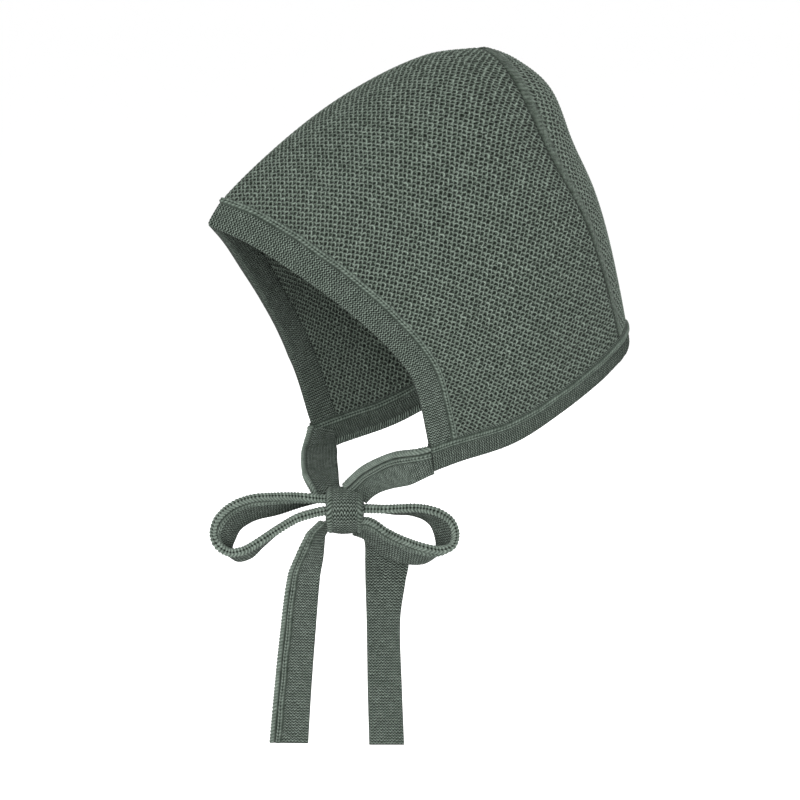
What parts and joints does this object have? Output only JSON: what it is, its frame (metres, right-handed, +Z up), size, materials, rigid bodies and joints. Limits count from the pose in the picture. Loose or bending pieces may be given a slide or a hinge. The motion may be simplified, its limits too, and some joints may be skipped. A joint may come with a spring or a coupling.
{
  "type": "baby bonnet",
  "caption": "Knitted baby bonnet with a horseshoe back panel, a double face band, a rolled neck band and long ties worn in a bow under the chin.",
  "frame": {"origin": "inside of the crown at the top of the head, where the back seam crosses the crown line", "axes": "+Z up, the face looks toward -Y and slightly down, +X to the wearer's left"},
  "size_m": [0.1196, 0.1919, 0.2836],
  "materials": {
    "knit_main": "matte fine wool knit in moss stitch",
    "knit_band": "matte fine wool knit, reverse stocking stitch",
    "knit_tie": "matte fine wool knit, reverse stocking stitch"
  },
  "bodies": {
    "root": {"crown_right": "knit_main", "crown_top": "knit_main", "crown_left": "knit_main", "back_panel": "knit_main", "face_band": "knit_band", "neck_band": "knit_band", "strap_left": "knit_tie", "strap_right": "knit_tie", "bow_knot": "knit_tie", "bow_loop_left": "knit_tie", "bow_loop_right": "knit_tie", "tail_left": "knit_tie", "tail_right": "knit_tie"}
  },
  "joints": []
}
